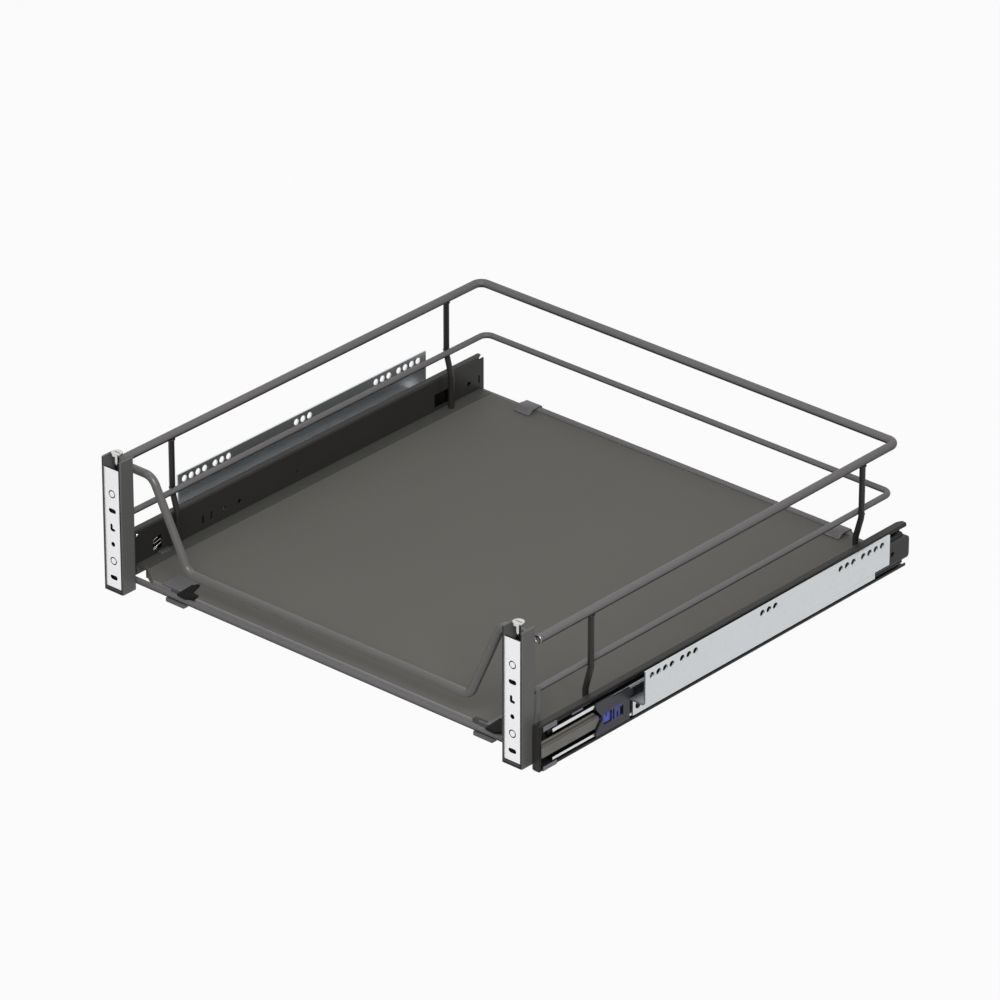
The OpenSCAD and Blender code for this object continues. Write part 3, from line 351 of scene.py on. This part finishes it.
def moulded(name, shade, roughness, crater_mm=0.35, painted_fold_bands=(), insert=None, gloss=0.5):
    material, tree = new_material(name)
    place = add(tree, "ShaderNodeTexCoord")
    craters = add(tree, "ShaderNodeTexNoise", Vector=(place, "Object"), Scale=1000 / crater_mm,
                  Detail=2.0)
    flow = add(tree, "ShaderNodeTexNoise", Vector=(place, "Object"), Scale=60.0, Detail=1.0)
    colour = two_tones(tree, (flow, "Fac"), shade, (0.93, 1.07), (0.3, 0.7))
    # Painted light and shade: each band by height gets its own colour.
    for height, shade_above in painted_fold_bands:
        colour = blend(tree, beyond(tree, place, "Z", height, 0.0002), colour, shade_above)
    if insert:
        box, insert_shade = insert
        inside = 1.0
        for axis, low, high in box:
            between = add(tree, "ShaderNodeMath", {"operation": "SUBTRACT"},
                          _0=beyond(tree, place, axis, low), _1=beyond(tree, place, axis, high))
            inside = (add(tree, "ShaderNodeMath", {"operation": "MULTIPLY"},
                          _0=(between, "Value"), _1=inside), "Value")
        colour = blend(tree, inside, colour, insert_shade)
    relief = add(tree, "ShaderNodeBump", Height=(craters, "Fac"), Strength=0.2, Distance=0.00004)
    surface = add(tree, "ShaderNodeBsdfPrincipled", Base_Color=colour, IOR=1.48,
                  Roughness=around(tree, (craters, "Fac"), roughness, 0.06),
                  Normal=(relief, "Normal"), Specular_IOR_Level=gloss)
    finish_material(tree, surface)
    return material


housing_black = moulded("moulded acetal, blue-black", "#1c1d22", roughness=0.4,
                        insert=(BLUE_FIELD, "#2c386e"))
catch_blue = moulded("moulded acetal, blue", "#4f63bd", roughness=0.42)
striker_grey = moulded("moulded acetal, grey", "#6c6a66", roughness=0.5, painted_fold_bands=FOLD_LIGHT_AND_SHADE)
rubber_black = moulded("moulded rubber, black", "#121211", roughness=0.7, crater_mm=0.5,
                       gloss=0.12)
print("plastics:", 4)

# %% [markdown]
# ## Dressing the CAD pieces
# Every CAD piece whose shape is already right keeps its mesh and gets its finish. One table says
# which finish belongs to which family of pieces.

# %% Give each CAD piece its finish
FINISHES = {
    "wall_bracket": galvanised, "cabinet_member": cabinet_rail_coat, "bracket_rivets": galvanised,
    "damper_housing": housing_black, "damper_cylinder": stop_steel, "damper_rod": stop_steel,
    "damper_catch": catch_blue, "middle_member": slide_zinc, "inner_cage": bright_steel,
    "inner_balls": bright_steel, "outer_cage": bright_steel, "outer_balls": bright_steel,
    "side_profile": profile_coat, "raceway_stops": stop_steel, "striker_plate": striker_grey,
    "floor_ledge": ledge_coat, "post": post_coat, "gusset": post_coat, "screw_block": galvanised,
    "panel_carrier": carrier_zinc, "adjusting_screw": bright_steel, "top_rail": rail_coat,
    "lower_rail": rail_coat, "front_rail": front_rail_coat, "upright_front": upright_coat,
    "upright_rear": upright_coat, "floor_board": board_face, "front_crossbar": rail_coat,
    "rear_crossbar": rail_coat, "floor_clip_front": clip_coat, "floor_clip_rear": clip_coat,
}


def family(name):
    return name.removesuffix("_left").removesuffix("_right")


for name, piece in nodes.items():
    piece.data.materials.clear()
    piece.data.materials.append(FINISHES[family(name)])
print("dressed", len(nodes), "pieces with", len(set(FINISHES.values())), "finishes")

# %% [markdown]
# ## Rounded edges
# No edge of a real piece is razor sharp: a sheared sheet has a burr that the barrel tumbles off,
# and a coat or a mould rounds the rest. Those small rounds catch the light as thin bright lines,
# which is most of what makes metal look like metal. Two modifiers give them without touching the
# CAD mesh: Weld joins its loose triangles, and Bevel rounds whatever is sharper than 40 degrees.

# %% Round the sharp edges
SHARP_ABOVE = math.radians(40)
WELD_DISTANCE = 0.000002
EDGE_ROUND_MM = {"post": 0.35, "floor_board": 0.3, "floor_ledge": 0.3, "side_profile": 0.3,
                 "wall_bracket": 0.25, "panel_carrier": 0.2, "floor_clip_front": 0.3,
                 "gusset": 0.25, "middle_member": 0.2, "cabinet_member": 0.25,
                 "striker_plate": 0.2, "damper_housing": 0.25}
for name, piece in nodes.items():
    if family(name) in EDGE_ROUND_MM:
        weld = piece.modifiers.new("weld", "WELD")
        weld.merge_threshold = WELD_DISTANCE
        bevel = piece.modifiers.new("edge round", "BEVEL")
        bevel.width = EDGE_ROUND_MM[family(name)] / 1000
        bevel.segments = 2
        bevel.limit_method = "ANGLE"
        bevel.angle_limit = SHARP_ABOVE
        bevel.harden_normals = True
print("rounded the edges of", sum(family(n) in EDGE_ROUND_MM for n in nodes), "pieces")

# %% [markdown]
# ## Small pieces that are modelled here
# The CAD has the pieces that carry load or move. What is left are things too small to matter to
# the mechanism, but that a hand or an eye finds at once. Each is modelled once, on the right side
# unless its cell says otherwise, and its mirrored copy with its own mesh goes to the left.
# Millimetres are counted from the middle, from the posts' front and from the floor, as on a
# workshop drawing.

# %% Helpers for modelled pieces
SMOOTH_BELOW = math.radians(35)
WEB_X_MM = 252.7
RAIL_X_MM = 251.2


def at(x, front, z):
    return Vector((x, FRONT_MM + front, z)) / 1000


def begin():
    if bpy.context.object and bpy.context.object.mode != "OBJECT":
        bpy.ops.object.mode_set(mode="OBJECT")
    bpy.ops.object.select_all(action="DESELECT")


def mend_normals():
    bpy.ops.object.mode_set(mode="EDIT")
    bpy.ops.mesh.select_all(action="SELECT")
    bpy.ops.mesh.remove_doubles(threshold=WELD_DISTANCE)
    bpy.ops.mesh.normals_make_consistent(inside=False)
    bpy.ops.object.mode_set(mode="OBJECT")


def settle(name, finish, body):
    """Puts the active object's place into its mesh, and gives it a name, a finish and a body."""
    piece = bpy.context.object
    bpy.ops.object.transform_apply(location=True, rotation=True, scale=True)
    mend_normals()
    bpy.ops.object.shade_smooth_by_angle(angle=SMOOTH_BELOW)
    piece.name = name
    piece.data.materials.clear()
    piece.data.materials.append(finish)
    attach(piece, body)
    return piece


def copy_of(piece, name, body, shift=(0, 0, 0), mirrored=False):
    twin = piece.copy()
    twin.data = piece.data.copy()
    bpy.context.collection.objects.link(twin)
    if mirrored:
        twin.data.transform(Matrix.Diagonal((-1, 1, 1, 1)))
        twin.data.flip_normals()
    twin.data.transform(Matrix.Translation(Vector(shift) / 1000))
    twin.name = name
    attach(twin, body)
    return twin


def both_sides(piece, stem, left_body="drawer"):
    copy_of(piece, stem + "_left", left_body, mirrored=True)


def drawn_line(points):
    """A straight-edged curve through points in metres, as the active object."""
    begin()
    bpy.ops.curve.primitive_nurbs_path_add(location=(0, 0, 0))
    line = bpy.context.object
    line.data.splines.clear()
    strand = line.data.splines.new("POLY")
    strand.points.add(len(points) - 1)
    for point, where in zip(strand.points, points):
        point.co = (*where, 1)
    return line


print("helpers ready, smooth below", round(math.degrees(SMOOTH_BELOW)), "degrees")

# %% [markdown]
# ## Wire spring in the slide's front window
# Behind the window in the drawer's side profile lies a flat spring, bent in a zigzag from bright
# wire nearly a millimetre thick. A curve is the natural model of a wire: its points are the
# bends, and its bevel is the wire's thickness. It becomes a mesh at the end, so that it bakes
# like the rest.

# %% Window springs
WIRE_MM = 0.9
ZIGZAG = [(71.2, 28.4), (66.4, 27.1), (65.7, 26.2), (65.7, 24.0), (66.3, 23.2), (75.0, 25.3),
          (75.9, 24.8), (75.9, 21.9), (75.2, 21.0), (66.0, 18.3), (65.4, 17.7), (65.6, 17.0),
          (70.4, 17.9)]
wire = drawn_line([at(WEB_X_MM, front, z) for front, z in ZIGZAG])
wire.data.bevel_depth = WIRE_MM / 2000
wire.data.bevel_resolution = 2
wire.data.use_fill_caps = True
bpy.ops.object.convert(target="MESH")
spring = settle("window_spring_right", bright_steel, "drawer")
both_sides(spring, "window_spring")
print("window springs: 2, vertices each", len(spring.data.vertices))

# %% [markdown]
# ## Rivets in the profile's web
# A small rivet near the front holds the slide's end stop to the web. Its head is a low dome. A
# sphere is cut by a plane to leave its cap, which gives the dome a closed flat foot.

# %% Web rivets
RIVET_AT = at(WEB_X_MM, 44.5, 41.0)
FOOT_AT = at(252.0, 44.5, 41.0)
begin()
bpy.ops.mesh.primitive_uv_sphere_add(segments=20, ring_count=12, radius=0.0018,
                                     location=RIVET_AT)
bpy.ops.object.mode_set(mode="EDIT")
bpy.ops.mesh.select_all(action="SELECT")
bpy.ops.mesh.bisect(plane_co=FOOT_AT, plane_no=(1, 0, 0), clear_outer=True, use_fill=True)
bpy.ops.object.mode_set(mode="OBJECT")
rivet = settle("web_rivet_right", bright_steel, "drawer")
both_sides(rivet, "web_rivet")
print("web rivets: 2")

# %% [markdown]
# ## Keeper of the window spring
# Under each window a small pressed tab stands on the ledge and keeps the spring's foot in place.
# It is a folded strip, so it starts as a block, its inner edge is drawn down to a slope, and its
# edges are rounded as a fold is.

# %% Spring keepers
def block(low, high, round_mm):
    begin()
    low, high = at(*low), at(*high)
    bpy.ops.mesh.primitive_cube_add(size=1, location=(low + high) / 2, scale=high - low)
    bpy.ops.object.transform_apply(location=True, rotation=True, scale=True)
    thing = bpy.context.object
    rounding = thing.modifiers.new("round", "BEVEL")
    rounding.width = round_mm / 1000
    rounding.segments = 2
    rounding.limit_method = "ANGLE"
    return thing


keeper = block((246.4, 70, 12.5), (251.6, 84, 14.7), 0.4)
bpy.ops.object.mode_set(mode="EDIT")
cage = bmesh.from_edit_mesh(keeper.data)
for vertex in cage.verts:
    vertex.select = vertex.co.z > at(0, 0, 14).z and vertex.co.x < at(248, 0, 0).x
cage.select_flush_mode()
bmesh.update_edit_mesh(keeper.data)
bpy.ops.transform.translate(value=(0.0012, 0, -0.0008))
bpy.ops.object.mode_set(mode="OBJECT")
bpy.ops.object.modifier_apply(modifier="round")
keeper = settle("spring_keeper_right", ledge_coat, "drawer")
both_sides(keeper, "spring_keeper")
print("spring keepers: 2")

# %% [markdown]
# ## Buffers at the middle rails' rear ends
# A rubber pad at the rear end of each middle rail quietens the stop of the pulled-out drawer. It
# fills the mouth of the upper ball track, above the cabinet rail and just behind the place where
# the ball cage ends its run; its black also stands in for the shade in that gap, as painted shade.
# Its rear face is inset and pushed in a little, as a moulding is cored to keep its wall even.

# %% End buffers
buffer = block((256.2, 510.3, 34.8), (261.9, 511.9, 37.9), 0.3)
bpy.ops.object.mode_set(mode="EDIT")
bpy.ops.mesh.select_all(action="DESELECT")
cage = bmesh.from_edit_mesh(buffer.data)
for face in cage.faces:
    face.select = face.normal.y > 0.9
bmesh.update_edit_mesh(buffer.data)
bpy.ops.mesh.inset(thickness=0.0007, depth=-0.0004)
bpy.ops.object.mode_set(mode="OBJECT")
bpy.ops.object.modifier_apply(modifier="round")
# Painted shade in part: the buffer's black also fills the shade of the gap above the cabinet rail.
buffer = settle("end_buffer_right", rubber_black, "middle_right")
both_sides(buffer, "end_buffer", "middle_left")
print("end buffers: 2")

# %% [markdown]
# ## Clips at the board's rear edge
# Each is a strip of spring steel. It hooks round the rear crossbar, runs forward and slopes down,
# so that its lip presses on the board. A bent strip is a line drawn out sideways: one edge is
# extruded along the bends, and Solidify gives the sheet its thickness. The CAD's clip, which is
# squarer, is hidden behind this one.

# %% Rear clips
def strap(bends, x_low, x_high, thick_mm):
    begin()
    centre = at((x_low + x_high) / 2, *bends[0])
    bpy.ops.mesh.primitive_plane_add(size=(x_high - x_low) / 1000, location=centre)
    thing = bpy.context.object
    bpy.ops.object.transform_apply(location=True, rotation=True, scale=True)
    bpy.ops.object.mode_set(mode="EDIT")
    bpy.ops.mesh.select_all(action="DESELECT")
    cage = bmesh.from_edit_mesh(thing.data)
    for vertex in cage.verts:
        vertex.select = vertex.co.y > centre.y
    cage.select_flush_mode()
    bmesh.update_edit_mesh(thing.data)
    bpy.ops.mesh.delete(type="VERT")
    bpy.ops.mesh.select_all(action="SELECT")
    bpy.ops.transform.translate(value=(0, (x_high - x_low) / 2000, 0))
    for here, there in zip(bends, bends[1:]):
        bpy.ops.mesh.extrude_region_move(
            TRANSFORM_OT_translate={"value": at(0, *there) - at(0, *here)})
    bpy.ops.object.mode_set(mode="OBJECT")
    mend_normals()
    sheet = thing.modifiers.new("sheet", "SOLIDIFY")
    sheet.thickness = thick_mm / 1000
    sheet.offset = 0
    rounding = thing.modifiers.new("round", "BEVEL")
    rounding.width = 0.0002
    rounding.segments = 2
    rounding.limit_method = "ANGLE"
    rounding.angle_limit = math.radians(50)
    for finishing in ("sheet", "round"):
        bpy.ops.object.modifier_apply(modifier=finishing)


CLIP_X_MM = (179.2, 197.2)
CLIP_BENDS = [(515.2, 8.8), (517.4, 8.8), (519.3, 9.9), (520.2, 11.6), (520.2, 13.8),
              (519.3, 15.6), (517.6, 16.3), (509.0, 16.3), (507.6, 16.1), (506.2, 15.4),
              (502.4, 13.3), (501.2, 12.9), (499.8, 12.9)]
strap(CLIP_BENDS, *CLIP_X_MM, 0.9)
clip = settle("floor_clip_right", clip_coat, "drawer")
twin = copy_of(clip, "floor_clip_left", "drawer", mirrored=True)
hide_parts("floor_clip_rear_right")
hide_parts("floor_clip_rear_left")
print("rear clips: 2")

# %% [markdown]
# ## Black fillers in the profiles' rear slots
# The last slot in each profile's web is filled with a black rubber block, flush with the web, as
# painted shade: it stands in for the shade seen through the slot. A rounded block is enough.

# %% Slot shade fillers
# Painted shade: a black block in the slot, standing in for the shade seen through it.
slot_filler = block((252.05, 511.1, 18.55), (253.25, 513.7, 26.65), 0.2)
bpy.ops.object.modifier_apply(modifier="round")
slot_filler = settle("slot_shade_fill_right", rubber_black, "drawer")
both_sides(slot_filler, "slot_shade_fill")
print("slot shade fillers: 2")

# %% [markdown]
# ## Painted shadows beside the front clips
# Beside each front clip lies a thin sheet of black rubber as a painted shadow: it stands in for
# the shade that falls to the same side of both clips. So the one on the left is modelled and its
# copy is shifted, not mirrored. A closed curve is drawn round its outline and filled, and the
# curve's depth gives the thickness.

# %% Clip shadow sheets
# Painted shadow: a black sheet lying on the board beside each front clip.
SHADOW_SHEET_OUTLINE = [(-182.6, 23.9), (-184.1, 44.6), (-179.7, 49.8), (-174.6, 35.1), (-166.7, 34.1),
                  (-165.3, 29.3), (-172.2, 23.3)]
SHADOW_SHEET_SPACING_MM = 371
shadow_sheet = drawn_line([at(x, front, 0) for x, front in SHADOW_SHEET_OUTLINE])
shadow_sheet.data.splines[0].use_cyclic_u = True
shadow_sheet.data.dimensions = "2D"
shadow_sheet.data.fill_mode = "BOTH"
shadow_sheet.data.extrude = 0.0008
shadow_sheet.data.bevel_depth = 0.0002
shadow_sheet.location = at(0, 0, 12.9) - at(0, 0, 0)
bpy.ops.object.convert(target="MESH")
shadow_sheet = settle("clip_shadow_sheet_left", rubber_black, "drawer")
copy_of(shadow_sheet, "clip_shadow_sheet_right", "drawer", shift=(SHADOW_SHEET_SPACING_MM, 0, 0))
print("clip shadow sheets: 2, vertices each", len(shadow_sheet.data.vertices))

# %% [markdown]
# ## Rims of the top rail's open ends
# The saw leaves a bare ring of bright steel where the top rail's tube is cut, and a file breaks
# its edge. A torus a little thinner than the wall gives that rounded, uncoated edge.

# %% Rail rims
RAIL_END_AT = at(RAIL_X_MM, 20.85, 125.5)
begin()
bpy.ops.mesh.primitive_torus_add(location=RAIL_END_AT, rotation=(math.pi / 2, 0, 0),
                                 major_segments=40, minor_segments=8, major_radius=0.00355,
                                 minor_radius=0.00042)
bpy.ops.object.mode_set(mode="EDIT")
bpy.ops.mesh.select_all(action="SELECT")
bpy.ops.transform.resize(value=(1, 0.7, 1), center_override=RAIL_END_AT)
bpy.ops.object.mode_set(mode="OBJECT")
rim = settle("rail_rim_right", bright_steel, "drawer")
both_sides(rim, "rail_rim")
print("rail rims: 2")

# %% [markdown]
# ## Weld beads
# Rails and uprights are resistance-welded before they are coated. The melted steel leaves a low,
# lumpy collar round each joint, which the powder then smooths. A torus round the wire is pushed
# about at random by up to a third of a millimetre, with a fixed seed, and smoothed.

# %% Weld beads
def bead(centre, wire_mm, size_mm, seed):
    begin()
    bpy.ops.mesh.primitive_torus_add(location=at(*centre), major_segments=28, minor_segments=8,
                                     major_radius=wire_mm / 2000, minor_radius=size_mm / 1000)
    bpy.ops.object.mode_set(mode="EDIT")
    bpy.ops.mesh.select_all(action="SELECT")
    bpy.ops.transform.vertex_random(offset=0.00035, uniform=0.4, normal=0.6, seed=seed)
    bpy.ops.mesh.vertices_smooth(factor=0.5, repeat=2)
    bpy.ops.object.mode_set(mode="OBJECT")


UPRIGHTS_MM = {"front": 91, "rear": 465}
for number, (where, y) in enumerate(UPRIGHTS_MM.items()):
    bead((RAIL_X_MM, y, 121.3), 5.9, 1.0, 3 + number)
    top_bead = settle(f"bead_top_{where}_right", upright_coat, "drawer")
    both_sides(top_bead, f"bead_top_{where}")
    bead((RAIL_X_MM, y, 72.1), 5.7, 0.6, 7 + number)
    mid_bead = settle(f"bead_mid_{where}_right", upright_coat, "drawer")
    both_sides(mid_bead, f"bead_mid_{where}")
print("weld beads:", 4 * len(UPRIGHTS_MM))

# %% [markdown]
# ## White paper under the drawer
# A product photograph is made on a sweep of white paper. It is white to the camera and in
# reflections only. To the rest of the light it is a plain grey, so the white doesn't wash out the
# dark finishes, and a few hundredths of the grey are left to hold a trace of shadow.

# %% The floor
FLOOR_Z = -0.0005
PAPER_WHITE = 0.96


def seen_directly(tree):
    """1 for a ray from the eye or off a shiny face, 0 for the light that spreads."""
    path = add(tree, "ShaderNodeLightPath")
    seen = add(tree, "ShaderNodeMath", {"operation": "MAXIMUM"}, _0=(path, "Is Camera Ray"),
               _1=(path, "Is Glossy Ray"))
    return (seen, "Value")


begin()
bpy.ops.mesh.primitive_plane_add(size=12, location=(0, 0, FLOOR_Z))
floor = bpy.context.active_object
floor.name = "floor"
floor_paper, tree = new_material("white paper sweep")
paper = add(tree, "ShaderNodeBsdfDiffuse", Color=linear("#5a5a5a"))
white = add(tree, "ShaderNodeEmission", Color=linear("#ffffff"), Strength=1.0)
share = add(tree, "ShaderNodeMath", {"operation": "MULTIPLY"}, _0=seen_directly(tree),
            _1=PAPER_WHITE)
mixed = add(tree, "ShaderNodeMixShader", _0=(share, "Value"), _1=(paper, "BSDF"),
            _2=(white, "Emission"))
add(tree, "ShaderNodeOutputMaterial", Surface=(mixed, "Shader"))
floor.data.materials.append(floor_paper)
print("floor at", FLOOR_Z, "m")

# %% [markdown]
# ## The white room
# The world does the same for all that lies beyond the paper. The eye and the shiny faces see plain
# white, and only a weak grey of it works as light, so that the shapes keep their shade.

# %% The world
world = bpy.data.worlds.new("studio")
bpy.context.scene.world = world
world.use_nodes = True
tree = world.node_tree
tree.nodes.clear()
soft = add(tree, "ShaderNodeBackground", Color=linear("#ffffff"), Strength=0.22)
white = add(tree, "ShaderNodeBackground", Color=linear("#ffffff"), Strength=1.0)
mixed = add(tree, "ShaderNodeMixShader", _0=seen_directly(tree), _1=(soft, "Background"),
            _2=(white, "Background"))
add(tree, "ShaderNodeOutputWorld", Surface=(mixed, "Shader"))
print("world:", world.name)

# %% [markdown]
# ## Two softboxes
# Big soft lamps give broad highlights that fade at their edges. The key light stands at the front
# right, on the camera's side, and shapes the posts and the right slide. A weak one overhead lifts
# the board and the tops of the rails.

# %% The lamps
def lamp(name, stand, towards, size, power):
    data = bpy.data.lights.new(name, "AREA")
    data.size = size
    data.energy = power
    thing = bpy.data.objects.new(name, data)
    bpy.context.collection.objects.link(thing)
    thing.location = stand
    aim = Vector(towards) - Vector(stand)
    thing.rotation_euler = aim.to_track_quat("-Z", "Y").to_euler()


lamp("overhead softbox", (-0.2, 0.4, 2.3), (0, 0, 0), 1.2, 8)
lamp("key softbox, front right", (1.8, -2.0, 2.1), (0, 0, 0.05), 1.8, 100)
print("lamps: 2")

# %% [markdown]
# ## Closing
# The view transform is set to Standard so that a colour shows as it is written.

# %% Finish
bpy.context.scene.view_settings.view_transform = "Standard"
